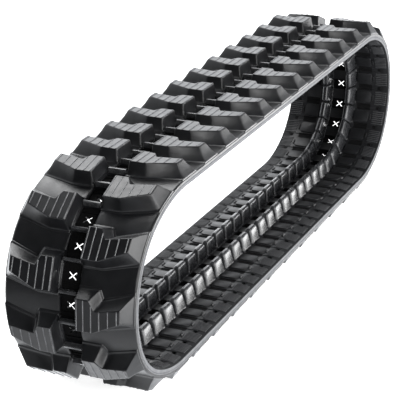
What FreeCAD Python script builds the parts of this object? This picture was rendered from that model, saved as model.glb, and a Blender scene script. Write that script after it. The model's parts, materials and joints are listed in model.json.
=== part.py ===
"""Endless rubber track for a mini excavator, 230 mm wide, 48 mm pitch, 66 links.

The track lies on its side runs as it does on a machine: lower run on the ground, upper run above it,
and a bend at each end.  Units are millimetres.  +X runs along the track, +Y across it, +Z up, and the
origin is on the ground under the middle of the lower run.

Every layer of the belt is described by its level, the distance from the steel cord line, positive
towards the inside of the loop.  A place along the belt is its run, the distance along the cord line
from the middle of the lower run, first towards -X, then up the front bend.
"""
import FreeCAD
import Part
import math
import os

# ------------------------------------------------------------------ driving sizes
BELT_WIDTH = 230.0
PITCH = 48.0
LINKS = 66
LUG_HEIGHT = 25.0
SHOULDER_RADIUS = 254.0     # easy bend where a run meets the end bend
SHOULDER_ANGLE = 27.0       # degrees
NOSE_RADIUS = 148.0         # tight middle of the end bend

# levels of the layers
TREAD_FACE = -8.0
PLY_OUTER = -3.0
PLY_INNER = 2.5
CORE_LAYER_INNER = 8.0
COVER_FACE = 9.5
PAD_FACE = 12.0
GUIDE_TIP = 38.0
EDGE_FACE = 6.3
LUG_TIP = TREAD_FACE - LUG_HEIGHT
GROUND_TO_CORD = -LUG_TIP

# places across the belt
HALF_WIDTH = BELT_WIDTH / 2
CARCASS_HALF = 96.0
PLY_INSIDE = 20.0
SHOULDER = 2.0              # the chamfer along the band's outer corners
SLOPE_START = 88.0          # the inner face falls away from here to the edge
WINDOW_HALF = 16.0
WINDOW_LENGTH = 24.0
WINDOW_CORNER = 3.0
POCKET_LENGTH = 42.0        # the tread's pocket round each window, between two bridge bars
FILM_THICKNESS = 1.2
SLIT_WIDTH = 2.0
SLIT_LENGTH = 17.0
SLIT_TURN = 42.0            # degrees from the belt's length

# steel cores
CORE_LENGTH = 22.0
CORE_HALF = 88.0
CORE_OUTER = 3.2
CORE_INNER = 7.4
BRIDGE_LENGTH = 17.0
BRIDGE_HALF = 19.0
HORN_TIP = 33.0
HORN_BASE = (22.0, 33.0)    # across the belt, from and to
HORN_TOP = (23.5, 30.0)
HORN_BASE_LENGTH = 20.0
HORN_TOP_LENGTH = 13.0
WEB_HOLE_RADIUS = 4.0       # rubber keys through these holes in the wings
WEB_HOLES = (52.0, 74.0)

# steel cords
CORD_RADIUS = 1.6
CORDS_PER_SIDE = 8
FIRST_CORD = 30.0
CORD_SPACING = 8.4

# guide lugs, wheel pads and bridge bars
GUIDE_BASE = (17.0, 40.0)
GUIDE_TOP = (21.0, 32.0)
GUIDE_BASE_LENGTH = 41.0
GUIDE_TOP_LENGTH = 34.0
GUIDE_CORNER = 4.0
PAD_SPAN = (41.0, 76.0)
PAD_LENGTH = 28.0
BAR_LENGTH = 5.0
BAR_RISE = 8.0

# outline of a tread lug, (along the run, out from the middle), at its foot and at its tip
LUG_FOOT = [(-31, 18), (-31, 53), (-15, 113), (38, 113), (20, 59), (36, 52), (36, 18)]
LUG_TOP = [(-27, 22), (-27, 51), (-5, 97), (18, 98), (10, 54), (27, 45), (27, 22)]
LUG_SKIRT = 4.0             # how far the foot reaches into the belt before it is trimmed
BENCH = 1000.0              # half the width of the flat ground, which presses the lug tips level

UP = FreeCAD.Vector(0, 0, 1)
ACROSS = FreeCAD.Vector(0, 1, 0)
SIDES = {"left": 1, "right": -1}


# ------------------------------------------------------------------ the cord line
def end_bend():
    """The three arcs of one end, as (radius, angle in radians)."""
    shoulder = math.radians(SHOULDER_ANGLE)
    return [
        (SHOULDER_RADIUS, shoulder),
        (NOSE_RADIUS, math.pi - 2 * shoulder),
        (SHOULDER_RADIUS, shoulder),
    ]


def cord_line():
    """The closed cord line as (start run, length, x, z, heading, radius or None)."""
    bend = end_bend()
    bend_length = sum(radius * angle for radius, angle in bend)
    straight = LINKS * PITCH / 2 - bend_length
    plan = [(None, straight / 2)]
    plan += [(radius, radius * angle) for radius, angle in bend]
    plan += [(None, straight)]
    plan += [(radius, radius * angle) for radius, angle in bend]
    plan += [(None, straight / 2)]
    pieces = []
    run, x, z, heading = 0.0, 0.0, GROUND_TO_CORD, 0.0
    for radius, length in plan:
        pieces.append((run, length, x, z, heading, radius))
        if radius is None:
            x -= length * math.cos(heading)
            z += length * math.sin(heading)
        else:
            turned = heading + length / radius
            x -= radius * (math.sin(turned) - math.sin(heading))
            z += radius * (math.cos(heading) - math.cos(turned))
            heading = turned
        run += length
    return pieces


CORD_LINE = cord_line()
STRETCHES = ("lower_run", "front_bend", "upper_run", "rear_bend")
STRETCH_OF_PIECE = (
    ["lower_run"] + ["front_bend"] * 3 + ["upper_run"] + ["rear_bend"] * 3 + ["lower_run"]
)


def station(run):
    """Place and heading of the cord line at a run."""
    run = run % (LINKS * PITCH)
    for start, length, x, z, heading, radius in reversed(CORD_LINE):
        if run >= start:
            break
    travelled = run - start
    if radius is None:
        return x - travelled * math.cos(heading), z + travelled * math.sin(heading), heading
    turned = heading + travelled / radius
    x -= radius * (math.sin(turned) - math.sin(heading))
    z += radius * (math.cos(heading) - math.cos(turned))
    return x, z, turned


def put(shape, run):
    """A copy of a shape made at the middle of the lower run, moved to a run of the belt."""
    x, z, heading = station(run)
    turn = FreeCAD.Rotation(ACROSS, math.degrees(heading))
    moved = shape.copy()
    moved.Placement = FreeCAD.Placement(FreeCAD.Vector(x, 0, z), turn)
    return moved


# ------------------------------------------------------------------ belt-long shapes
def section_face(points):
    """A flat face across the belt from (across, level) points."""
    corners = [FreeCAD.Vector(0, across, level) for across, level in points]
    return Part.Face(Part.makePolygon(corners + corners[:1]))


def along_belt(face, stretches=STRETCHES):
    """The solid that a cross-section face sweeps along some stretches of the cord line, or all of it."""
    solids = []
    for name, (start, length, x, z, heading, radius) in zip(STRETCH_OF_PIECE, CORD_LINE):
        if name not in stretches:
            continue
        placed = put(face, start)
        if radius is None:
            travel = FreeCAD.Vector(-math.cos(heading), 0, math.sin(heading))
            solids.append(placed.extrude(travel * length))
        else:
            inward = FreeCAD.Vector(math.sin(heading), 0, math.cos(heading))
            centre = FreeCAD.Vector(x, 0, z) + inward * radius
            solids.append(placed.revolve(centre, ACROSS, math.degrees(length / radius)))
    return solids[0].multiFuse(solids[1:]).removeSplitter().Solids[0]


def by_stretch(parts, node, face, cutters=()):
    """One sub-part for each stretch of the belt, with the same shapes cut from every one."""
    for stretch in STRETCHES:
        shape = along_belt(face, [stretch])
        for cutter in cutters:
            shape = shape.cut(cutter)
        parts["%s_%s" % (node, stretch)] = shape


def ring(y_from, y_to, outer, inner):
    """A flat endless layer between two places across the belt and two levels."""
    return along_belt(section_face([(y_from, outer), (y_to, outer), (y_to, inner), (y_from, inner)]))


def loop_prism(level, half_width):
    """Everything inside the loop drawn at a level, across the whole width."""
    edges = []
    for start, length, x, z, heading, radius in CORD_LINE:
        def point(run):
            px, pz, turned = station(run)
            return FreeCAD.Vector(px + level * math.sin(turned), -half_width, pz + level * math.cos(turned))
        first, last = point(start), point(start + length)
        if radius is None:
            edges.append(Part.LineSegment(first, last).toShape())
        else:
            edges.append(Part.Arc(first, point(start + length / 2), last).toShape())
    face = Part.Face(Part.Wire(edges))
    return face.extrude(ACROSS * (2 * half_width))


def core_runs():
    return [k * PITCH for k in range(LINKS)]


def window_runs():
    return [(k + 0.5) * PITCH for k in range(LINKS)]


# ------------------------------------------------------------------ shapes of one link
def block(length, y_from, y_to, outer, inner):
    """A box centred along the belt, between two places across it and two levels."""
    corner = FreeCAD.Vector(-length / 2, y_from, outer)
    return Part.makeBox(length, y_to - y_from, inner - outer, corner)


def window_block(length, outer, inner):
    """A clear shape as wide as a window, with rounded corners, between two levels."""
    shape = block(length, -WINDOW_HALF, WINDOW_HALF, outer, inner)
    upright = [e for e in shape.Edges if abs(e.tangentAt(e.FirstParameter).z) > 0.5]
    return shape.makeFillet(WINDOW_CORNER, upright)


def outline(points, side, level):
    """A closed wire from (along the run, out from the middle) points on one side of the belt."""
    corners = [FreeCAD.Vector(-along, side * out, level) for along, out in points]
    return Part.makePolygon(corners + corners[:1])


def tapered_block(length, span, top_length, top_span, levels, side):
    """A block whose length and span shrink from its first level to its second."""
    wires = []
    for half, (near, far), level in (
        (length / 2, span, levels[0]),
        (top_length / 2, top_span, levels[1]),
    ):
        wires.append(outline([(-half, near), (half, near), (half, far), (-half, far)], side, level))
    return Part.makeLoft(wires, True, True)


def core():
    """One steel core: two flat wings joined by a narrower bridge, with two guide horns."""
    shape = block(CORE_LENGTH, -CORE_HALF, CORE_HALF, CORE_OUTER, CORE_INNER)
    for end in (-1, 1):
        notch = block(CORE_LENGTH, -BRIDGE_HALF, BRIDGE_HALF, CORE_OUTER - 1, CORE_INNER + 1)
        notch.translate(FreeCAD.Vector(end * (CORE_LENGTH + BRIDGE_LENGTH) / 2, 0, 0))
        shape = shape.cut(notch)
    for side in (-1, 1):
        for out in WEB_HOLES:
            foot = FreeCAD.Vector(0, side * out, CORE_OUTER - 1)
            shape = shape.cut(Part.makeCylinder(WEB_HOLE_RADIUS, CORE_INNER - CORE_OUTER + 2, foot, UP))
        horn = tapered_block(
            HORN_BASE_LENGTH, HORN_BASE, HORN_TOP_LENGTH, HORN_TOP, (CORE_OUTER + 1, HORN_TIP), side
        )
        shape = shape.fuse(horn)
    return shape.removeSplitter().Solids[0]


def guide_lug_blank(side):
    """The rubber over one horn before it is trimmed to the belt and hollowed."""
    wires = []
    for length, (near, far), corner, level in (
        (GUIDE_BASE_LENGTH, GUIDE_BASE, GUIDE_CORNER, CORE_LAYER_INNER),
        (GUIDE_TOP_LENGTH, GUIDE_TOP, GUIDE_CORNER, GUIDE_TIP),
    ):
        half = length / 2
        points = [
            (-half + corner, near), (half - corner, near), (half, near + corner), (half, far - corner),
            (half - corner, far), (-half + corner, far), (-half, far - corner), (-half, near + corner),
        ]
        wires.append(outline(points, side, level))
    return Part.makeLoft(wires, True, True)


def tread_lug_blank(side):
    """One tread lug on one side, with a skirt that the belt's face trims."""
    foot = outline(LUG_FOOT, side, TREAD_FACE)
    body = Part.makeLoft([foot, outline(LUG_TOP, side, LUG_TIP)], True, True)
    skirt = Part.Face(foot).extrude(UP * LUG_SKIRT)
    return body.fuse(skirt).removeSplitter().Solids[0]


def window_film():
    """The thin rubber left across a window, slit in an X."""
    film = window_block(WINDOW_LENGTH, -FILM_THICKNESS / 2, FILM_THICKNESS / 2)
    for turn in (-SLIT_TURN, SLIT_TURN):
        slit = block(SLIT_LENGTH, -SLIT_WIDTH / 2, SLIT_WIDTH / 2, -FILM_THICKNESS, FILM_THICKNESS)
        slit.rotate(FreeCAD.Vector(), UP, 90 + turn)
        film = film.cut(slit)
    return film


# ------------------------------------------------------------------ the sub-parts
def at_windows(shape):
    """Copies of a shape at every window of the belt."""
    return Part.makeCompound([put(shape, run) for run in window_runs()])


def steel_cores():
    """All cores with the run of each."""
    one = core()
    return [(run, put(one, run)) for run in core_runs()]


def stretch_at(run):
    """Which of the four stretches of the loop a run is on."""
    started = [name for name, piece in zip(STRETCH_OF_PIECE, CORD_LINE) if run >= piece[0]]
    return started[-1]


def build_cores(parts, cores):
    for stretch in STRETCHES:
        members = [shape for run, shape in cores if stretch_at(run) == stretch]
        parts["steel_cores_" + stretch] = Part.makeCompound(members)


def build_cords_and_plies(parts):
    """The endless steel cords of each side and the rubber ply that holds them."""
    for side_name, side in SIDES.items():
        cords = []
        for n in range(CORDS_PER_SIDE):
            across = side * (FIRST_CORD + n * CORD_SPACING)
            circle = Part.makeCircle(CORD_RADIUS, FreeCAD.Vector(0, across, 0), FreeCAD.Vector(1, 0, 0))
            cord = along_belt(Part.Face(Part.Wire([circle])))
            parts["cord_%s_%d" % (side_name, n + 1)] = cord
            cords.append(cord)
        y_from, y_to = sorted((side * PLY_INSIDE, side * CARCASS_HALF))
        ply = ring(y_from, y_to, PLY_OUTER, PLY_INNER).cut(cords[0].multiFuse(cords[1:]))
        parts["cord_ply_" + side_name] = ply


def build_belt(parts, cores):
    """The rubber layers that run the whole way round."""
    windows = at_windows(window_block(WINDOW_LENGTH, TREAD_FACE, COVER_FACE + 4))
    pockets = at_windows(window_block(POCKET_LENGTH, TREAD_FACE - 4, PLY_OUTER + 4))
    all_cores = Part.makeCompound([shape for run, shape in cores])
    by_stretch(parts, "tread_band", section_face([
        (-HALF_WIDTH, PLY_OUTER), (-HALF_WIDTH, TREAD_FACE + SHOULDER), (-HALF_WIDTH + SHOULDER, TREAD_FACE),
        (HALF_WIDTH - SHOULDER, TREAD_FACE), (HALF_WIDTH, TREAD_FACE + SHOULDER), (HALF_WIDTH, PLY_OUTER),
    ]), [pockets])
    filler = along_belt(section_face([
        (-CARCASS_HALF, PLY_INNER), (-PLY_INSIDE, PLY_INNER), (-PLY_INSIDE, PLY_OUTER),
        (PLY_INSIDE, PLY_OUTER), (PLY_INSIDE, PLY_INNER), (CARCASS_HALF, PLY_INNER),
        (CARCASS_HALF, CORE_LAYER_INNER), (-CARCASS_HALF, CORE_LAYER_INNER),
    ]))
    parts["core_filler"] = filler.cut(windows).cut(all_cores)
    fall = (COVER_FACE - EDGE_FACE) / (HALF_WIDTH - SLOPE_START)
    joint_face = COVER_FACE - fall * (CARCASS_HALF - SLOPE_START)
    by_stretch(parts, "inner_cover", section_face([
        (-CARCASS_HALF, CORE_LAYER_INNER), (CARCASS_HALF, CORE_LAYER_INNER), (CARCASS_HALF, joint_face),
        (SLOPE_START, COVER_FACE), (-SLOPE_START, COVER_FACE), (-CARCASS_HALF, joint_face),
    ]), [windows, all_cores])
    for side_name, side in SIDES.items():
        by_stretch(parts, "edge_strip_" + side_name, section_face([
            (side * CARCASS_HALF, PLY_OUTER), (side * HALF_WIDTH, PLY_OUTER),
            (side * HALF_WIDTH, EDGE_FACE - 2), (side * (HALF_WIDTH - 2), EDGE_FACE),
            (side * CARCASS_HALF, joint_face),
        ]))


def build_lugs(parts, cores):
    """Tread lugs, guide lugs, wheel pads, bridge bars and window films."""
    ground = Part.makeBox(2 * BENCH, 2 * BENCH, BENCH, FreeCAD.Vector(-BENCH, -BENCH, -BENCH))
    under_tread = loop_prism(TREAD_FACE, BELT_WIDTH)
    inside_cover = loop_prism(COVER_FACE, BELT_WIDTH)
    inside_pad = loop_prism(PAD_FACE, BELT_WIDTH)
    for side_name, side in SIDES.items():
        first = 0 if side_name == "right" else 1
        lug = tread_lug_blank(side)
        lugs = [put(lug, run).cut(under_tread).cut(ground) for run in window_runs()[first::2]]
        parts["tread_lugs_" + side_name] = Part.makeCompound(lugs)
        blank = guide_lug_blank(side)
        covers = [put(blank, run).common(inside_cover).cut(shape) for run, shape in cores]
        parts["guide_lugs_" + side_name] = Part.makeCompound(covers)
        y_from, y_to = sorted(side * out for out in PAD_SPAN)
        pad = block(PAD_LENGTH, y_from, y_to, CORE_LAYER_INNER, PAD_FACE + 4)
        pads = [put(pad, run).common(inside_cover).cut(inside_pad) for run in core_runs()]
        parts["wheel_pads_" + side_name] = Part.makeCompound(pads)
    bar = block(BAR_LENGTH, -WINDOW_HALF, WINDOW_HALF, TREAD_FACE - BAR_RISE, TREAD_FACE + 2)
    bars = [put(bar, run).cut(under_tread) for run in core_runs()]
    parts["bridge_bars"] = Part.makeCompound(bars)
    parts["window_films"] = at_windows(window_film())


def main():
    parts = {}
    cores = steel_cores()
    build_cores(parts, cores)
    build_cords_and_plies(parts)
    build_belt(parts, cores)
    build_lugs(parts, cores)
    os.makedirs("parts", exist_ok=True)
    for name, shape in parts.items():
        shape.exportStep("parts/%s.step" % name)
        print("%-26s solids %3d  volume %10.0f mm3  valid %s" % (
            name, len(shape.Solids), shape.Volume, shape.isValid()))


main()
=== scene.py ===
"""Looks of the endless rubber track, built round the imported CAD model.

Sizes are in millimetres, and become metres where a mesh is made.  A place on the belt is its run, the
distance along the steel cord line from the middle of the lower run, its distance across the belt, and
its level, the distance from the cord line, positive towards the inside of the loop.
"""
import bpy
import json
import math
import numpy as np
from mathutils import Matrix, Vector
from mathutils.geometry import tessellate_polygon


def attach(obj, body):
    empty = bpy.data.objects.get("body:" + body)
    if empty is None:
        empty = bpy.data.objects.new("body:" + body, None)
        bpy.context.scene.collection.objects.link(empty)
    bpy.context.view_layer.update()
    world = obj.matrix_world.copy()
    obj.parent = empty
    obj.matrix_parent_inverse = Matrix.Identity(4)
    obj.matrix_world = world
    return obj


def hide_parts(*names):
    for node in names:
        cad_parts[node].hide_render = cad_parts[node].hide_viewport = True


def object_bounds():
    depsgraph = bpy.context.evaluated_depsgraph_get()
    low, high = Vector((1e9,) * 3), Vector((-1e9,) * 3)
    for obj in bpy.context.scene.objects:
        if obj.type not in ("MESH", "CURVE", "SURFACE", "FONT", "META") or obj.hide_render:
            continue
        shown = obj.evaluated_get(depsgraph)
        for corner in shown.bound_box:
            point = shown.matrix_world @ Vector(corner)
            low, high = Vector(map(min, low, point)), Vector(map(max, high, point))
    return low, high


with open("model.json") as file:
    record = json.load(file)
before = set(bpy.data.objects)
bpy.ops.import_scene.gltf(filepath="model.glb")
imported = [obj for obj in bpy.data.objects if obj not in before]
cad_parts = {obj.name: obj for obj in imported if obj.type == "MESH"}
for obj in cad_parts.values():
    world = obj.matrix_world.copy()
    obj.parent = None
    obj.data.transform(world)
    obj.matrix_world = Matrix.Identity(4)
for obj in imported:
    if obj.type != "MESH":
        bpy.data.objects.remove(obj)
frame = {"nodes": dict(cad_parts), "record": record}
cad_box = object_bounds()

# ------------------------------------------------------------------ driving sizes
METRES = 0.001
PITCH = 48.0
LINKS = 66
BELT_LENGTH = LINKS * PITCH
SHOULDER_RADIUS = 254.0
SHOULDER_TURN = math.radians(27.0)
NOSE_RADIUS = 148.0
GROUND_TO_CORD = 33.0
HALF_WIDTH = (cad_box[1][1] - cad_box[0][1]) / 2 / METRES

TREAD_FACE = -8.0
PLY_OUTER = -3.0
CORE_LAYER_INNER = 8.0
COVER_FACE = 9.5
PAD_FACE = 12.0
GUIDE_TIP = 38.0
EDGE_FACE = 6.3
LUG_TIP = -33.0

CARCASS_HALF = 96.0
SLOPE_START = 88.0
WINDOW_HALF = 16.0
WINDOW_LENGTH = 24.0
WINDOW_CORNER = 3.0
MIDDLE_HALF = 30.0          # the windows' soft edges all lie within this of the belt's middle
POCKET_LENGTH = 42.0

LUG_FOOT = [(-31, 18), (-31, 53), (-15, 113), (38, 113), (20, 59), (36, 52), (36, 18)]
LUG_TOP = [(-27, 22), (-27, 51), (-5, 97), (18, 98), (10, 54), (27, 45), (27, 22)]
LUG_CORNERS = [3.5, 3.0, 3.0, 2.0, 2.5, 2.0, 1.6]
SIDES = {"left": 1, "right": -1}


# ------------------------------------------------------------------ the cord line
def cord_line():
    """The closed cord line as rows of (start run, x, z, heading, curvature)."""
    turns = [(SHOULDER_RADIUS, SHOULDER_TURN), (NOSE_RADIUS, math.pi - 2 * SHOULDER_TURN),
             (SHOULDER_RADIUS, SHOULDER_TURN)]
    bend = [(radius * turn, 1 / radius) for radius, turn in turns]
    straight = BELT_LENGTH / 2 - sum(length for length, curve in bend)
    plan = [(straight / 2, 0.0)] + bend + [(straight, 0.0)] + bend + [(straight / 2, 0.0)]
    rows = []
    run, x, z, heading = 0.0, 0.0, GROUND_TO_CORD, 0.0
    for length, curve in plan:
        rows.append((run, x, z, heading, curve))
        if curve:
            turned = heading + length * curve
            x -= (math.sin(turned) - math.sin(heading)) / curve
            z += (math.cos(heading) - math.cos(turned)) / curve
            heading = turned
        else:
            x -= length * math.cos(heading)
            z += length * math.sin(heading)
        run += length
    return np.array(rows)


CORD_LINE = cord_line()


def station(run):
    """Place and heading of the cord line at each of an array of runs."""
    run = np.mod(run, BELT_LENGTH)
    row = CORD_LINE[np.searchsorted(CORD_LINE[:, 0], run, side="right") - 1]
    start, x, z, heading, curve = np.moveaxis(row, -1, 0)
    travelled = run - start
    turned = heading + travelled * curve
    safe = np.where(curve > 0, curve, 1.0)
    arc_x = (np.sin(turned) - np.sin(heading)) / safe
    arc_z = (np.cos(heading) - np.cos(turned)) / safe
    step_x = np.where(curve > 0, arc_x, travelled * np.cos(heading))
    step_z = np.where(curve > 0, arc_z, travelled * np.sin(heading))
    return x - step_x, z + step_z, turned


def bent(run, across, level):
    """Points that follow the belt."""
    run, across, level = np.broadcast_arrays(run, across, level)
    x, z, heading = station(run)
    return np.stack([x + level * np.sin(heading), across, z + level * np.cos(heading)], axis=-1)


def rigid(run, along, across, level):
    """Points of a piece that stays straight, placed at one run of the belt."""
    along, across, level = np.broadcast_arrays(along, across, level)
    x, z, heading = station(np.array(run))
    c, s = np.cos(heading), np.sin(heading)
    return np.stack([x - along * c + level * s, across, z + along * s + level * c], axis=-1)


def face_drop(run, along, level):
    """How far a level of the bent belt falls away from a straight piece's own level."""
    x, z, heading = station(np.array(run))
    guess = run + along
    for _ in range(5):
        p = bent(guess, 0.0, level)
        here = -(p[..., 0] - x) * np.cos(heading) + (p[..., 2] - z) * np.sin(heading)
        guess = guess + along - here
    p = bent(guess, 0.0, level)
    return (p[..., 0] - x) * np.sin(heading) + (p[..., 2] - z) * np.cos(heading) - level


# ------------------------------------------------------------------ meshes
class Shells:
    """Closed shells gathered into one piece."""

    def __init__(self):
        self.points = []
        self.faces = []
        self.count = 0

    def add(self, points, faces, flip=False):
        points = np.asarray(points).reshape(-1, 3)
        for face in faces:
            order = reversed(face) if flip else face
            self.faces.append([corner + self.count for corner in order])
        self.points.append(points)
        self.count += len(points)

    def piece(self, name, material, slot, replaced, sharp=35.0):
        mesh = bpy.data.meshes.new(name)
        mesh.from_pydata(np.concatenate(self.points) * METRES, [], self.faces)
        mesh.update()
        mesh.polygons.foreach_set("use_smooth", [True] * len(mesh.polygons))
        mesh.set_sharp_from_angle(angle=math.radians(sharp))
        mesh.materials.append(material)
        piece = bpy.data.objects.new(name, mesh)
        bpy.context.scene.collection.objects.link(piece)
        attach(piece, "root")
        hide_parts(*[node for node in frame["nodes"] if node.startswith(replaced)])
        return piece


def rounded(points, radii, steps=3):
    """A closed outline with each corner cut back by its radius and rounded in a few steps."""
    points = np.array(points, float)
    out = []
    for k, corner in enumerate(points):
        before = points[k - 1] - corner
        after = points[(k + 1) % len(points)] - corner
        before = before / np.linalg.norm(before)
        after = after / np.linalg.norm(after)
        for step in range(steps + 1):
            t = step / steps
            a, b = corner + before * radii[k], corner + after * radii[k]
            out.append((1 - t) ** 2 * a + 2 * t * (1 - t) * corner + t ** 2 * b)
    return np.array(out)


def divided(first, second, longest):
    """Two matching outlines with extra points wherever the first has a longer side than allowed."""
    out_first, out_second = [], []
    for k in range(len(first)):
        a, b = first[k], first[(k + 1) % len(first)]
        c, d = second[k], second[(k + 1) % len(second)]
        pieces = max(1, math.ceil(np.linalg.norm(b - a) / longest))
        for n in range(pieces):
            t = n / pieces
            out_first.append(a + (b - a) * t)
            out_second.append(c + (d - c) * t)
    return np.array(out_first), np.array(out_second)


def outward(outline):
    """Unit vectors pointing out of an outline drawn anticlockwise or clockwise."""
    ahead = np.roll(outline, -1, axis=0) - outline
    behind = outline - np.roll(outline, 1, axis=0)
    ahead = ahead / np.maximum(np.linalg.norm(ahead, axis=1, keepdims=True), 1e-9)
    behind = behind / np.maximum(np.linalg.norm(behind, axis=1, keepdims=True), 1e-9)
    direction = ahead + behind
    direction = direction / np.linalg.norm(direction, axis=1, keepdims=True)
    normal = np.stack([direction[:, 1], -direction[:, 0]], axis=1)
    return normal * np.sign(turn_of(outline))


def tube_faces(rings, around):
    """Faces of a stack of rings with the same number of points, with a plain face at each end."""
    faces = []
    for r in range(rings - 1):
        for k in range(around):
            n = (k + 1) % around
            faces.append([r * around + k, r * around + n, (r + 1) * around + n, (r + 1) * around + k])
    faces.append(list(reversed(range(around))))
    faces.append(list(range((rings - 1) * around, rings * around)))
    return faces


def stack(rings):
    """Points and faces of a stack of outlines, whose end faces are cut into well shaped triangles."""
    around = len(rings[0])
    faces = tube_faces(len(rings), around)[:-2]
    for index, ring in ((0, rings[0]), (len(rings) - 1, rings[-1])):
        corners = [Vector((point[0], point[1], 0)) for point in ring]
        anticlockwise = turn_of(ring) > 0
        for triangle in tessellate_polygon([corners]):
            order = list(triangle)
            if (turn_of(ring[order]) > 0) != (anticlockwise == (index > 0)):
                order.reverse()
            faces.append([index * around + corner for corner in order])
    return np.concatenate(rings), faces


def turn_of(outline):
    """Twice the area inside an outline, positive when it runs anticlockwise."""
    x, y = outline[:, 0], outline[:, 1]
    return np.sum(x * np.roll(y, -1) - y * np.roll(x, -1))


# ------------------------------------------------------------------ tread lugs
LUG_HEIGHT = -LUG_TIP + TREAD_FACE
LUG_SPAN = (17.2, 113.8)    # a lug's foot stays between these, out from the middle
LUG_TOP_SHRINK = 0.8        # the corners' radii at the tip, as a share of those at the foot
LUG_LONGEST_SIDE = 6.0      # longer sides of the outline get points between their corners
FOLLOW_HEIGHT = 9.0         # below this height a lug's foot follows the bent belt
RIDGE_HEIGHT = 1.0
RIDGE_HALF = 1.3
RIDGE_CREST = 0.35
RIDGE_INSET = 0.4
RIDGE_PLACES = [24.0, 35.5, 49.0, 63.0, 78.0, 93.0]
# (height above the band, how far the outline is pushed out there)
LUG_RINGS = [(-1.6, 3.6), (0.3, 3.4), (0.8, 3.0), (1.05, 2.3), (1.2, 1.0), (1.7, 0.4), (3.0, 0.0),
             (12.0, -0.8), (21.6, 0.0), (22.6, 0.0), (23.4, -0.15), (23.9, -0.5), (24.05, -1.1),
             (24.05, -2.0)]


def lug_tip():
    """The outline of a tread lug's tip."""
    return rounded(LUG_TOP, [LUG_TOP_SHRINK * radius for radius in LUG_CORNERS])


def lug_template():
    """Points of one tread lug as (along, out, height), and its faces."""
    foot, top = divided(rounded(LUG_FOOT, LUG_CORNERS), lug_tip(), LUG_LONGEST_SIDE)
    rings = []
    for height, push in LUG_RINGS:
        t = height / LUG_HEIGHT
        outline = foot + (top - foot) * t
        outline = outline + outward(outline) * push
        rings.append(np.column_stack([outline, np.full(len(outline), height)]))
    points, faces = stack(rings)
    points[:, 1] = np.clip(points[:, 1], *LUG_SPAN)
    return points, faces


def span_at(outline, out):
    """From and to along the run where a line across an outline crosses it."""
    crossings = []
    for k in range(len(outline)):
        (a, p), (b, q) = outline[k], outline[(k + 1) % len(outline)]
        if (p - out) * (q - out) < 0:
            crossings.append(a + (b - a) * (out - p) / (q - p))
    return min(crossings), max(crossings)


def fin(along_from, along_to, out, halves, levels):
    """A small ridge with sloping sides, as (along, out, height) points and faces."""
    points = []
    for half, level in zip(halves, levels):
        short = halves[0] - half
        points += [(along_from + short, out - half, level), (along_to - short, out - half, level),
                   (along_to - short, out + half, level), (along_from + short, out + half, level)]
    return np.array(points), tube_faces(2, 4)


def above_ground(points):
    """The same points, with any that would be under the ground pressed level with it."""
    return np.concatenate([points[:, :2], np.maximum(points[:, 2:], 0.0)], axis=1)


def lug_ridges():
    """The thin raised lines along a lug's tip, as (along, out, height) points and faces."""
    top = lug_tip()
    ridges = []
    for out in RIDGE_PLACES:
        along_from, along_to = span_at(top, out)
        ridges.append(fin(along_from + RIDGE_INSET, along_to - RIDGE_INSET, out, (RIDGE_HALF, RIDGE_CREST),
                          (LUG_HEIGHT - RIDGE_HEIGHT - 0.1, LUG_HEIGHT)))
    return ridges


def tread_lugs(side_name, material):
    """One row of lugs, on every other link, with the two rows a link apart."""
    side = SIDES[side_name]
    shells = Shells()
    points, faces = lug_template()
    ridges = lug_ridges()
    first = 0 if side_name == "right" else 1
    for link in range(first, LINKS, 2):
        run = (link + 0.5) * PITCH
        along, out, height = points.T
        blend = np.clip(1 - height / FOLLOW_HEIGHT, 0, 1) ** 2
        level = TREAD_FACE - height + face_drop(run, along, TREAD_FACE) * blend
        shells.add(above_ground(rigid(run, along, side * out, level)), faces, flip=side < 0)
        for ridge, ridge_faces in ridges:
            along, out, height = ridge.T
            points_there = rigid(run, along, side * out, TREAD_FACE - height)
            shells.add(above_ground(points_there), ridge_faces, flip=side < 0)
    return shells.piece("tread_lugs_" + side_name + "_shape", material, "tread_rubber",
                        "tread_lugs_" + side_name)


# ------------------------------------------------------------------ belt layers with openings
def layer(run_lines, across_lines, outer, inner, hole=None):
    """A closed endless layer.  run_lines repeat for every link and are measured from its window.

    outer and inner give a level for (along, across) and hole says which cells are left open.
    """
    lines = np.array(run_lines, float)
    across = np.array(across_lines, float)
    rows, columns = len(lines) * LINKS, len(across)
    along = np.tile(lines, LINKS)
    run = np.repeat((np.arange(LINKS) + 0.5) * PITCH, len(lines)) + along
    grid_along, grid_across = np.meshgrid(along, across, indexing="ij")
    grid_run = np.repeat(run[:, None], columns, axis=1)
    if hole:
        grid_along, moved_across = hole.rounded(grid_along, grid_across)
        grid_run = grid_run + grid_along - along[:, None]
        grid_across = moved_across
    top = bent(grid_run, grid_across, outer(grid_along, grid_across))
    bottom = bent(grid_run, grid_across, inner(grid_along, grid_across))
    open_cell = np.zeros((rows, columns - 1), bool)
    if hole:
        middle_along = (along + np.roll(along, -1)) / 2
        middle_along[along > np.roll(along, -1)] = PITCH / 2
        middle_across = (across[1:] + across[:-1]) / 2
        open_cell = hole.inside(middle_along[:, None], middle_across[None, :])
    count = rows * columns
    faces = []

    def corner(r, c):
        return (r % rows) * columns + c

    for r in range(rows):
        for c in range(columns - 1):
            if open_cell[r, c]:
                continue
            a, b = corner(r, c), corner(r + 1, c)
            d, e = corner(r + 1, c + 1), corner(r, c + 1)
            faces.append([a, b, d, e])
            faces.append([e + count, d + count, b + count, a + count])
            if c == 0 or open_cell[r, c - 1]:
                faces.append([b, a, a + count, b + count])
            if c == columns - 2 or open_cell[r, c + 1]:
                faces.append([e, d, d + count, e + count])
            if open_cell[(r - 1) % rows, c]:
                faces.append([a, e, e + count, a + count])
            if open_cell[(r + 1) % rows, c]:
                faces.append([d, b, b + count, d + count])
    return np.concatenate([top.reshape(-1, 3), bottom.reshape(-1, 3)]), faces


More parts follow.
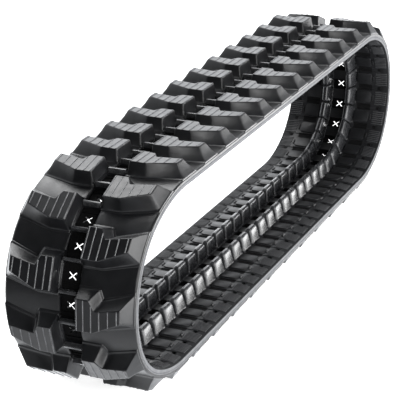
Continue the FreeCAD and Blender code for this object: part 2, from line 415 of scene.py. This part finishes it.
CORNER_CUT = 0.29           # share of its radius that a round corner's middle lies in, each way


class Hole:
    """A rectangular opening at every window with softened corners."""

    def __init__(self, length, half_width, corner):
        self.half_length = length / 2
        self.half_width = half_width
        self.corner = corner

    def inside(self, along, across):
        return (np.abs(along) < self.half_length) & (np.abs(across) < self.half_width)

    def rounded(self, along, across):
        at_end = np.isclose(np.abs(along), self.half_length)
        at_side = np.isclose(np.abs(across), self.half_width)
        shift = np.where(at_end & at_side, self.corner * CORNER_CUT, 0.0)
        return along - np.sign(along) * shift, across - np.sign(across) * shift


def both_ways(values):
    """A list of places on one side of the middle, mirrored to the other."""
    return sorted({-v for v in values} | set(values))


def soft_edge(along, across, length, drop):
    """How far the face round a window or pocket of a given length drops at its edge."""
    beside = np.maximum(np.abs(along) - length / 2, np.abs(across) - WINDOW_HALF)
    return drop * np.clip(1 - beside, 0, 1) * (np.abs(across) < MIDDLE_HALF)


BAND_SHOULDER_START = 111.0
BAND_SHOULDER_WIDTH = 4.0
BAND_SHOULDER_DROP = 2.5
POCKET_EDGE_DROP = 0.7
RIM_WIDTH = 4.5             # the pocket's long sides flare out over this width
RIM_DROP = 2.6


def tread_level(along, across):
    """The outer face of the belt: soft shoulders, and a soft edge and a flared rim at every pocket."""
    out = np.abs(across)
    shoulder = np.clip((out - BAND_SHOULDER_START) / BAND_SHOULDER_WIDTH, 0, 1) ** 2
    level = TREAD_FACE + BAND_SHOULDER_DROP * shoulder
    level = level + soft_edge(along, across, POCKET_LENGTH, POCKET_EDGE_DROP)
    flare = np.clip(1 - (out - WINDOW_HALF) / RIM_WIDTH, 0, 1) ** 2
    beside_pocket = (np.abs(along) <= POCKET_LENGTH / 2) & (out > WINDOW_HALF - 0.5)
    return level + RIM_DROP * flare * beside_pocket


def tread_band(material):
    """The outer sheet, open at every pocket."""
    half = POCKET_LENGTH / 2
    lines = sorted(set(both_ways([half, half + 1.0, half - 3.0, 12.0, 6.0]) + [PITCH / 2]))
    across = both_ways([13.0, WINDOW_HALF, 17.0, 18.2, 20.5, 25.0, 35.0, 50.0, 65.0, 80.0, 95.0, 104.0,
                        107.0, 109.0, BAND_SHOULDER_START, 112.5, 114.0, 114.7])
    hole = Hole(POCKET_LENGTH, WINDOW_HALF, WINDOW_CORNER)
    points, faces = layer(lines, across, tread_level, lambda a, y: np.full(y.shape, PLY_OUTER), hole)
    shells = Shells()
    shells.add(points, faces)
    return shells.piece("tread_band_shape", material, "tread_rubber", "tread_band")


# ------------------------------------------------------------------ inside of the belt
GROOVE_HALF = 4.6           # the groove between two links, at each window
GROOVE_FROM = 44.0
GROOVE_TO = 101.0
GROOVE_DEPTH = 1.3
GROOVE_WALL = 1.2
GROOVE_INNER_SLOPE = 1.5
GROOVE_OUTER_SLOPE = 3.0
NOTCH_HALF = 7.5            # the notch between two wheel pads, where darker rubber is painted as shade
NOTCH_TO = 78.0
COVER_EDGE_DROP = 0.5


def groove(along, across):
    """How much of the groove between two links is cut at a place, from 0 to 1."""
    out = np.abs(across)
    sides = np.clip((GROOVE_HALF - np.abs(along)) / GROOVE_WALL + 0.5, 0, 1)
    inner_end = np.clip((out - GROOVE_FROM) / GROOVE_INNER_SLOPE, 0, 1)
    outer_end = np.clip((GROOVE_TO - out) / GROOVE_OUTER_SLOPE, 0, 1)
    return sides * inner_end * outer_end


def cover_level(along, across):
    """The inner face of the belt without its wheel pads: sloping edges and a groove at each window."""
    out = np.abs(across)
    slope = np.clip((out - SLOPE_START) / (HALF_WIDTH - SLOPE_START), 0, 1)
    level = COVER_FACE - (COVER_FACE - EDGE_FACE) * slope
    level = level - GROOVE_DEPTH * groove(along, across)
    return level - soft_edge(along, across, WINDOW_LENGTH, COVER_EDGE_DROP)


def notch_faces(faces, lines, across):
    """Which faces of the inner cover lie in the notches between the wheel pads."""
    count = len(lines) * len(across) * LINKS
    corners = np.array(faces) % count
    along = np.array(lines)[corners // len(across) % len(lines)].mean(axis=1)
    out = np.abs(np.array(across)[corners % len(across)].mean(axis=1))
    return (np.abs(along) < NOTCH_HALF) & (out > GROOVE_FROM) & (out < NOTCH_TO)


def inner_cover(material, notch_shade_material):
    """The inner sheet, open at every window, with darker rubber painted as shade in the notches between
    the wheel pads.
    """
    half = WINDOW_LENGTH / 2
    near = [3.8, GROOVE_HALF, 5.4, 7.6, half - 3, half, half + 1.0, 17.0]
    lines = sorted(set(both_ways(near) + [0.0, PITCH / 2]))
    across = both_ways([13.0, WINDOW_HALF, 17.0, 25.0, 35.0, GROOVE_FROM, 45.5, 60.0, 76.0, SLOPE_START,
                        92.0, CARCASS_HALF])
    hole = Hole(WINDOW_LENGTH, WINDOW_HALF, WINDOW_CORNER)
    points, faces = layer(lines, across, lambda a, y: np.full(y.shape, CORE_LAYER_INNER),
                          cover_level, hole)
    shells = Shells()
    shells.add(points, faces)
    cover = shells.piece("inner_cover_shape", material, "inner_rubber", "inner_cover")
    # the notch faces take the darker rubber, painted shade
    cover.data.materials.append(notch_shade_material)
    cover.data.polygons.foreach_set("material_index", notch_faces(faces, lines, across).astype(np.int32))
    return cover


STRIP_FACE = [CARCASS_HALF, 100.0, GROOVE_TO, 104.0, 108.0, 112.0]
SIDE_FACE = 114.6
PARTING_LINE = 115.0        # it stands proud of the side
# (out, level) round the strip's edge and back
STRIP_EDGE = [(113.6, EDGE_FACE - 0.15), (114.4, EDGE_FACE - 0.8), (SIDE_FACE, EDGE_FACE - 1.8),
              (SIDE_FACE, 0.1), (PARTING_LINE, -0.3), (PARTING_LINE, -0.7), (SIDE_FACE, -1.1),
              (SIDE_FACE, PLY_OUTER), (CARCASS_HALF, PLY_OUTER)]
RIBS = range(-3, 4)         # seven ribs on each link
RIB_PITCH = 4.8
# (out, rise) along a rib, and (along, is it on the crest) across it
RIB_LENGTHWISE = [(84.0, 0.0), (85.5, 1.5), (98.0, 1.5), (108.5, 1.5), (110.0, 0.0)]
RIB_ACROSS = [(-1.5, False), (-0.6, True), (0.6, True), (1.5, False)]
RIB_ROOT = -0.6


def edge_strip(side_name, material, rib_material):
    """The strip of rubber outside the cords, with a parting line round its edge and ribs on its face."""
    side = SIDES[side_name]
    lines = sorted(set(both_ways([3.8, GROOVE_HALF, 5.4, 12.0, 17.0]) + [0.0, PITCH / 2]))
    along = np.tile(np.array(lines), LINKS)
    run = np.repeat((np.arange(LINKS) + 0.5) * PITCH, len(lines)) + along
    section = [(out, cover_level(along, np.full(len(run), out))) for out in STRIP_FACE] + STRIP_EDGE
    columns = [bent(run, side * out, level) for out, level in section]
    points = np.stack(columns, axis=1).reshape(-1, 3)
    rows, around = len(run), len(section)
    faces = []
    for r in range(rows):
        nxt = (r + 1) % rows
        for k in range(around):
            n = (k + 1) % around
            faces.append([r * around + k, r * around + n, nxt * around + n, nxt * around + k])
    shells = Shells()
    shells.add(points, faces, flip=side > 0)
    strip_faces = len(shells.faces)
    for link in range(LINKS):
        for rib in RIBS:
            shells.add(*rib_shell(link * PITCH + rib * RIB_PITCH, side), flip=side < 0)
    strip = shells.piece("edge_strip_" + side_name + "_shape", material, "tread_rubber",
                         "edge_strip_" + side_name)
    strip.data.materials.append(rib_material)
    on_rib = np.arange(len(shells.faces)) >= strip_faces
    strip.data.polygons.foreach_set("material_index", on_rib.astype(np.int32))
    return strip


def rib_shell(run, side):
    """One cross rib of the patch beyond a wheel pad."""
    points = []
    for out, rise in RIB_LENGTHWISE:
        face = cover_level(np.array(PITCH / 2), np.array(out))
        for along, crest in RIB_ACROSS:
            points.append(bent(run + along, side * out, face + (rise if crest else RIB_ROOT)))
    around = len(RIB_ACROSS)
    faces = []
    for r in range(len(RIB_LENGTHWISE) - 1):
        for k in range(around):
            n = (k + 1) % around
            faces.append([r * around + k, (r + 1) * around + k, (r + 1) * around + n, r * around + n])
    faces.append(list(range(around)))
    faces.append(list(reversed(range(len(points) - around, len(points)))))
    return np.array(points), faces


# ------------------------------------------------------------------ guide lugs
GUIDE_BASE = (17.0, 40.0)
GUIDE_TOP = (21.0, 32.0)
GUIDE_BASE_LENGTH = 41.0
GUIDE_TOP_LENGTH = 34.0
GUIDE_BASE_CORNERS = [3.0, 3.0, 5.0, 5.0]
GUIDE_TOP_CORNERS = [3.0, 3.0, 4.5, 4.5]
# (level, how far the outline is pushed out there), with a crowned tip
GUIDE_RINGS = [(8.6, 1.6), (9.6, 1.5), (10.1, 0.7), (11.3, 0.2), (13.0, 0.0), (24.0, 0.0), (32.5, 0.0),
               (35.0, -0.5), (36.8, -1.5), (37.7, -2.7), (38.0, -4.0)]


def box_outline(length, near, far, corners):
    """A rectangle across the belt from near to far, with rounded corners."""
    half = length / 2
    return rounded([(-half, near), (half, near), (half, far), (-half, far)], corners)


def guide_template():
    """Points of one guide lug as (along, out, level), and its faces."""
    foot = box_outline(GUIDE_BASE_LENGTH, *GUIDE_BASE, GUIDE_BASE_CORNERS)
    top = box_outline(GUIDE_TOP_LENGTH, *GUIDE_TOP, GUIDE_TOP_CORNERS)
    rings = []
    for level, push in GUIDE_RINGS:
        t = (level - CORE_LAYER_INNER) / (GUIDE_TIP - CORE_LAYER_INNER)
        outline = foot + (top - foot) * t
        outline = outline + outward(outline) * push
        rings.append(np.column_stack([outline, np.full(len(outline), level)]))
    return stack(rings)


def guide_lugs(side_name, material):
    """One row of guide lugs, one on each link."""
    side = SIDES[side_name]
    points, faces = guide_template()
    along, out, level = points.T
    shells = Shells()
    for link in range(LINKS):
        shells.add(rigid(link * PITCH, along, side * out, level), faces, flip=side > 0)
    return shells.piece("guide_lugs_" + side_name + "_shape", material, "inner_rubber",
                        "guide_lugs_" + side_name)


# ------------------------------------------------------------------ wheel pads and bars
PAD_LENGTH = 28.0
PAD_SPAN = (41.0, 76.0)
PAD_CORNERS = [2.0, 2.0, 8.0, 8.0]
PAD_LONGEST_SIDE = 6.0
PAD_RINGS = [(PAD_FACE - 3.0, 0.0), (PAD_FACE - 1.0, 0.0), (PAD_FACE - 0.3, -0.25), (PAD_FACE, -1.0)]
TICK_HALF_LENGTH = 7.0      # the small raised tick beyond each pad
TICK_PLACE = 79.6
TICK_HALVES = (1.6, 0.6)
TICK_LEVELS = (9.2, 11.8)
BAR_LENGTH = 5.0
BAR_HALF_WIDTH = 15.8
BAR_CORNERS = [1.0] * 4
BAR_RINGS = [(-0.6, 0.4), (0.4, 0.2), (7.0, 0.0), (7.7, -0.25), (8.0, -0.8)]


def slab(outline, ring_plan):
    """Points and faces of a low block: its outline repeated at (height, push) rings."""
    rings = []
    for height, push in ring_plan:
        ring = outline + outward(outline) * push
        rings.append(np.column_stack([ring, np.full(len(ring), height)]))
    return np.concatenate(rings), tube_faces(len(rings), len(outline))


def wheel_pads(side_name, material):
    """The smooth pads on which the rollers run, one on each link, each with its tick."""
    side = SIDES[side_name]
    outline = box_outline(PAD_LENGTH, *PAD_SPAN, PAD_CORNERS)
    outline = divided(outline, outline, PAD_LONGEST_SIDE)[0]
    points, faces = slab(outline, PAD_RINGS)
    tick, tick_faces = fin(-TICK_HALF_LENGTH, TICK_HALF_LENGTH, TICK_PLACE, TICK_HALVES, TICK_LEVELS)
    shells = Shells()
    for link in range(LINKS):
        for shape, shape_faces in ((points, faces), (tick, tick_faces)):
            along, out, level = shape.T
            shells.add(bent(link * PITCH + along, side * out, level), shape_faces, flip=side > 0)
    return shells.piece("wheel_pads_" + side_name + "_shape", material, "inner_rubber",
                        "wheel_pads_" + side_name)


def bridge_bars(material):
    """The wall across each bridge between two pockets."""
    outline = box_outline(BAR_LENGTH, -BAR_HALF_WIDTH, BAR_HALF_WIDTH, BAR_CORNERS)
    points, faces = slab(outline, BAR_RINGS)
    along, across, height = points.T
    shells = Shells()
    for link in range(LINKS):
        shells.add(rigid(link * PITCH, along, across, TREAD_FACE - height), faces)
    return shells.piece("bridge_bars_shape", material, "tread_rubber", "bridge_bars")


# ------------------------------------------------------------------ materials
CLOUD_SCALE = 22.0          # sizes of the noises, in repeats per metre
SMEAR_SCALE = 75.0
SPECKLE_SCALE = 900.0
# size of the noise that breaks up the painted highlight on the upright sides
SIDE_HIGHLIGHT_SCALE = 60.0
# size of the noise that breaks up the painted highlight on outer corners
EDGE_HIGHLIGHT_SCALE = 110.0
# (dark, light) colours of the rubbers
TREAD_COLOURS = ((0.005, 0.0052, 0.006), (0.011, 0.0115, 0.013))
INNER_COLOURS = ((0.006, 0.0062, 0.007), (0.012, 0.0125, 0.014))
DUSTY_COLOURS = ((0.03, 0.031, 0.033), (0.05, 0.051, 0.054))
# the darker rubber painted as shade in the notches between pads and in the pocket bottoms
POCKET_SHADE_COLOURS = ((0.002, 0.002, 0.0022), (0.004, 0.004, 0.0044))
CARCASS_COLOURS = ((0.008, 0.008, 0.0085), (0.014, 0.014, 0.015))
# the paler colour of the painted highlight on outer corners
EDGE_HIGHLIGHT_COLOUR = (0.11, 0.112, 0.118)
# the paler colour of the painted highlight on the belt's upright sides
SIDE_HIGHLIGHT_COLOUR = (0.13, 0.133, 0.14)
STEEL_COLOUR = (0.32, 0.31, 0.30)
BRASS_COLOUR = (0.62, 0.50, 0.28)


class Nodes:
    """A short way to make a material's nodes."""

    def __init__(self, name):
        self.material = bpy.data.materials.new(name)
        self.material.use_nodes = True
        self.tree = self.material.node_tree
        self.shader = self.tree.nodes["Principled BSDF"]

    def add(self, kind, inputs=None, **settings):
        node = self.tree.nodes.new(kind)
        for key, value in settings.items():
            setattr(node, key, value)
        for key, value in (inputs or {}).items():
            if hasattr(value, "links"):
                self.tree.links.new(value, node.inputs[key])
            else:
                node.inputs[key].default_value = value
        return node

    def link(self, output, name):
        self.tree.links.new(output, self.shader.inputs[name])

    def noise(self, place, scale, detail=3.0, roughness=0.55):
        return self.add("ShaderNodeTexNoise", {
            "Vector": place, "Scale": scale, "Detail": detail, "Roughness": roughness}).outputs[0]

    def spread(self, value, low, high, to_low, to_high):
        return self.add("ShaderNodeMapRange", {
            "Value": value, "From Min": low, "From Max": high, "To Min": to_low,
            "To Max": to_high}).outputs[0]


def rubber(name, colours, roughness, grain=0.12, gloss=0.5):
    """Moulded black rubber: cloudy colour, uneven roughness and a fine grain."""
    n = Nodes(name)
    dark, light = colours
    place = n.add("ShaderNodeTexCoord").outputs["Object"]
    clouds = n.noise(place, CLOUD_SCALE, 4.0)
    speckle = n.noise(place, SPECKLE_SCALE, 2.0)
    smear = n.noise(place, SMEAR_SCALE, 3.0)
    mixed = n.add("ShaderNodeMix", {"Factor": n.spread(clouds, 0.3, 0.7, 0.0, 1.0)}, data_type="RGBA")
    mixed.inputs[6].default_value = (*dark, 1)
    mixed.inputs[7].default_value = (*light, 1)
    n.link(mixed.outputs[2], "Base Color")
    rough = n.add("ShaderNodeMath", {0: n.spread(smear, 0.3, 0.7, roughness - 0.05, roughness + 0.06),
                                     1: n.spread(speckle, 0.3, 0.7, -0.02, 0.03)}, operation="ADD")
    n.link(rough.outputs[0], "Roughness")
    fine = n.add("ShaderNodeBump", {"Strength": grain, "Distance": 0.0004, "Height": speckle})
    broad = n.add("ShaderNodeBump", {"Strength": 0.25, "Distance": 0.0008, "Height": smear,
                                     "Normal": fine.outputs[0]})
    n.link(broad.outputs[0], "Normal")
    n.shader.inputs["Specular IOR Level"].default_value = gloss
    return n


def paler(n, amount, colour):
    """Mixes a paler colour into a material's own."""
    mixed = n.add("ShaderNodeMix", {"Factor": amount}, data_type="RGBA")
    n.tree.links.new(n.shader.inputs["Base Color"].links[0].from_socket, mixed.inputs[6])
    mixed.inputs[7].default_value = (*colour, 1)
    n.link(mixed.outputs[2], "Base Color")
    return n


def paint_edge_highlight(n, colour):
    """Paints outer corners paler, a painted highlight along the convex edges, unevenly broken up by noise.
    """
    corner = n.spread(n.add("ShaderNodeNewGeometry").outputs["Pointiness"], 0.51, 0.58, 0.0, 1.0)
    place = n.add("ShaderNodeTexCoord").outputs["Object"]
    uneven = n.spread(n.noise(place, EDGE_HIGHLIGHT_SCALE, 4.0), 0.35, 0.65, 0.3, 1.0)
    edge_highlight = n.add("ShaderNodeMath", {0: corner, 1: uneven}, operation="MULTIPLY").outputs[0]
    return paler(n, edge_highlight, colour)


def paint_side_highlight(n, colour):
    """Paints the upright sides of the belt paler, a painted highlight on the faces turned sideways,
    unevenly broken up by noise.
    """
    facing = n.add("ShaderNodeSeparateXYZ", {0: n.add("ShaderNodeNewGeometry").outputs["Normal"]})
    sideways = n.add("ShaderNodeMath", {0: facing.outputs[1]}, operation="ABSOLUTE").outputs[0]
    place = n.add("ShaderNodeTexCoord").outputs["Object"]
    uneven = n.spread(n.noise(place, SIDE_HIGHLIGHT_SCALE, 4.0), 0.3, 0.7, 0.7, 1.0)
    side_highlight = n.add("ShaderNodeMath", {0: n.spread(sideways, 0.6, 0.95, 0.0, 1.0), 1: uneven},
                    operation="MULTIPLY").outputs[0]
    return paler(n, side_highlight, colour)


def metal(name, colour, roughness, scale):
    """Steel that stays inside the rubber: blasted cores and brassed cords."""
    n = Nodes(name)
    place = n.add("ShaderNodeTexCoord").outputs["Object"]
    grit = n.noise(place, scale, 4.0)
    mixed = n.add("ShaderNodeMix", {"Factor": grit}, data_type="RGBA")
    mixed.inputs[6].default_value = (*[0.6 * c for c in colour], 1)
    mixed.inputs[7].default_value = (*colour, 1)
    n.link(mixed.outputs[2], "Base Color")
    n.link(n.spread(grit, 0.3, 0.7, roughness - 0.1, roughness + 0.1), "Roughness")
    bump = n.add("ShaderNodeBump", {"Strength": 0.3, "Distance": 0.0003, "Height": grit})
    n.link(bump.outputs[0], "Normal")
    n.shader.inputs["Metallic"].default_value = 1.0
    return n.material


# ------------------------------------------------------------------ stage
CAMERA_PLACE = Vector((-2.97268, -1.12151, 1.28027))
CAMERA_YAW = -1.1913
CAMERA_PITCH = 0.3454
CAMERA_ROLL = 0.0153
CAMERA_REACH = 50.0
SENSOR_WIDTH = 36.0
CAMERA_LENS = 155.48

# the light room: dark in front of the track, brighter towards its rear left and under it
ROOM_LEFTWARD = 1.2         # how much the left counts against the rear
ROOM_FROM, ROOM_TO = 0.45, 1.3
ROOM_DARK, ROOM_BRIGHT = 0.04, 2.8
BELOW_FROM, BELOW_TO = -0.1, -0.9
BELOW_BRIGHT = 1.6
ROOM_TINT = (0.95, 0.97, 1.0, 1)
WHITE = (1.0, 1.0, 1.0, 1)
# name, place, what it aims at, its two sides and its power in watts
LIGHTS = [
    ("overhead", (0.9, 0.75, 2.6), (-0.2, 0, 0.3), (1.5, 1.6), 45),
    ("front_right", (-2.9, -1.5, 1.2), (0, 0, 0.3), (1.5, 1.2), 36),
    ("right", (-0.4, -2.6, 0.65), (-0.4, 0, 0.65), (3.4, 3.4), 204),
    ("rear_right", (3.8, -2.9, -0.35), (0, 0, -0.2), (2.6, 2.5), 210),
]
FLOOR_REACH = 12.0
FLOOR_LEVEL = -0.0005       # a hair under the lugs' tips
FLOOR_PAINT = (0.85, 0.85, 0.85, 1)
FLOOR_GLOW = 0.75


def camera():
    """The camera, turned by its yaw, its pitch and a little roll."""
    back = Vector((math.sin(CAMERA_YAW) * math.cos(CAMERA_PITCH),
                   -math.cos(CAMERA_YAW) * math.cos(CAMERA_PITCH), math.sin(CAMERA_PITCH)))
    level = (-back).cross(Vector((0, 0, 1))).normalized()
    up = level.cross(-back)
    right = math.cos(CAMERA_ROLL) * level + math.sin(CAMERA_ROLL) * up
    above = math.cos(CAMERA_ROLL) * up - math.sin(CAMERA_ROLL) * level
    data = bpy.data.cameras.new("camera")
    data.lens = CAMERA_LENS
    data.sensor_width = SENSOR_WIDTH
    data.sensor_fit = "HORIZONTAL"
    data.clip_end = CAMERA_REACH
    eye = bpy.data.objects.new("camera", data)
    turn = Matrix((right, above, back)).transposed().to_4x4()
    turn.translation = CAMERA_PLACE
    eye.matrix_world = turn
    bpy.context.scene.collection.objects.link(eye)
    bpy.context.scene.camera = eye


def area_light(name, place, aim, size, power):
    """A soft light that the camera doesn't see."""
    data = bpy.data.lights.new(name, "AREA")
    data.shape = "RECTANGLE"
    data.size, data.size_y = size
    data.energy = power
    lamp = bpy.data.objects.new(name, data)
    lamp.location = place
    lamp.rotation_euler = (Vector(aim) - Vector(place)).to_track_quat("-Z", "Y").to_euler()
    lamp.visible_camera = False
    bpy.context.scene.collection.objects.link(lamp)


def light_room():
    """A white background, and a room of soft light that is brighter at the rear left and below."""
    world = bpy.data.worlds.new("studio")
    world.use_nodes = True
    tree = world.node_tree
    seen = tree.nodes["Background"]
    seen.inputs[0].default_value = WHITE

    def node(kind, **inputs):
        made = tree.nodes.new(kind)
        for name, value in inputs.items():
            made.inputs[name.replace("_", " ")].default_value = value
        return made

    split = node("ShaderNodeSeparateXYZ")
    tree.links.new(node("ShaderNodeTexCoord").outputs["Generated"], split.inputs[0])
    leftward = node("ShaderNodeMath")
    leftward.operation = "MULTIPLY_ADD"
    leftward.inputs[1].default_value = ROOM_LEFTWARD
    tree.links.new(split.outputs[1], leftward.inputs[0])
    tree.links.new(split.outputs[0], leftward.inputs[2])
    wall = node("ShaderNodeMapRange", From_Min=ROOM_FROM, From_Max=ROOM_TO, To_Min=ROOM_DARK,
                To_Max=ROOM_BRIGHT)
    tree.links.new(leftward.outputs[0], wall.inputs["Value"])
    below = node("ShaderNodeMapRange", From_Min=BELOW_FROM, From_Max=BELOW_TO, To_Max=BELOW_BRIGHT)
    tree.links.new(split.outputs[2], below.inputs["Value"])
    both = node("ShaderNodeMath")
    tree.links.new(wall.outputs[0], both.inputs[0])
    tree.links.new(below.outputs[0], both.inputs[1])
    lighting = node("ShaderNodeBackground")
    lighting.inputs[0].default_value = ROOM_TINT
    tree.links.new(both.outputs[0], lighting.inputs[1])
    which = node("ShaderNodeMixShader")
    tree.links.new(node("ShaderNodeLightPath").outputs["Is Camera Ray"], which.inputs[0])
    tree.links.new(lighting.outputs[0], which.inputs[1])
    tree.links.new(seen.outputs[0], which.inputs[2])
    tree.links.new(which.outputs[0], tree.nodes["World Output"].inputs[0])
    bpy.context.scene.world = world
    bpy.context.scene.view_settings.view_transform = "Standard"


def pale_floor():
    """A plain pale floor that takes the track's shadow and adds no light to it."""
    mesh = bpy.data.meshes.new("floor")
    corners = [(x * FLOOR_REACH, y * FLOOR_REACH, FLOOR_LEVEL)
               for x, y in ((-1, -1), (1, -1), (1, 1), (-1, 1))]
    mesh.from_pydata(corners, [], [(0, 1, 2, 3)])
    floor = bpy.data.objects.new("floor", mesh)
    bpy.context.scene.collection.objects.link(floor)
    n = Nodes("floor_paint")
    place = n.add("ShaderNodeTexCoord").outputs["Object"]
    n.link(n.spread(n.noise(place, 3.0), 0.0, 1.0, 0.85, 0.95), "Roughness")
    n.shader.inputs["Base Color"].default_value = FLOOR_PAINT
    n.shader.inputs["Emission Color"].default_value = WHITE
    n.shader.inputs["Emission Strength"].default_value = FLOOR_GLOW
    mesh.materials.append(n.material)
    floor.visible_glossy = False
    floor.visible_diffuse = False
    floor.visible_shadow = False


def studio():
    light_room()
    for light in LIGHTS:
        area_light(*light)
    pale_floor()


# ------------------------------------------------------------------ the whole
POCKET_BOTTOM = ("window_films", "core_filler")    # CAD nodes that take the darker rubber painted as shade in the pockets


def track():
    """Every visible piece of the track, and the finish of every CAD node."""
    tread = rubber("tread_rubber", TREAD_COLOURS, 0.34).material
    # the lugs and guide lugs carry a painted highlight on their outer corners
    lug = paint_edge_highlight(rubber("lug_rubber_edge_highlight", TREAD_COLOURS, 0.34), EDGE_HIGHLIGHT_COLOUR).material
    inside = rubber("inner_rubber", INNER_COLOURS, 0.45, gloss=0.36).material
    polished = paint_edge_highlight(rubber("guide_rubber_edge_highlight", INNER_COLOURS, 0.25, grain=0.2), EDGE_HIGHLIGHT_COLOUR).material
    # the edge strips carry a painted highlight on their upright sides
    side_lit_rubber = paint_side_highlight(rubber("edge_rubber_side_highlight", INNER_COLOURS, 0.65, gloss=0.2), SIDE_HIGHLIGHT_COLOUR).material
    dusty = rubber("dusty_rubber", DUSTY_COLOURS, 0.5).material
    # darker rubber painted as shade, for the notches and the pocket bottoms
    shade_rubber = rubber("pocket_shade_rubber", POCKET_SHADE_COLOURS, 0.85, gloss=0.15).material
    buried = rubber("carcass_rubber", CARCASS_COLOURS, 0.55).material
    core = metal("forged_steel", STEEL_COLOUR, 0.55, 400.0)
    cord = metal("brassed_cord", BRASS_COLOUR, 0.35, 1500.0)
    tread_band(tread)
    inner_cover(inside, shade_rubber)
    bridge_bars(polished)
    for side_name in SIDES:
        tread_lugs(side_name, lug)
        edge_strip(side_name, side_lit_rubber, dusty)
        guide_lugs(side_name, polished)
        wheel_pads(side_name, inside)
    finish = {"steel_core": core, "steel_cord": cord, "carcass_rubber": buried,
              "tread_rubber": tread, "inner_rubber": inside}
    slots = {part["node"]: part["material_slot"] for part in frame["record"]["subparts"]}
    for name, node in frame["nodes"].items():
        node.data.materials.clear()
        node.data.materials.append(shade_rubber if name in POCKET_BOTTOM else finish[slots[name]])


camera()
studio()
track()
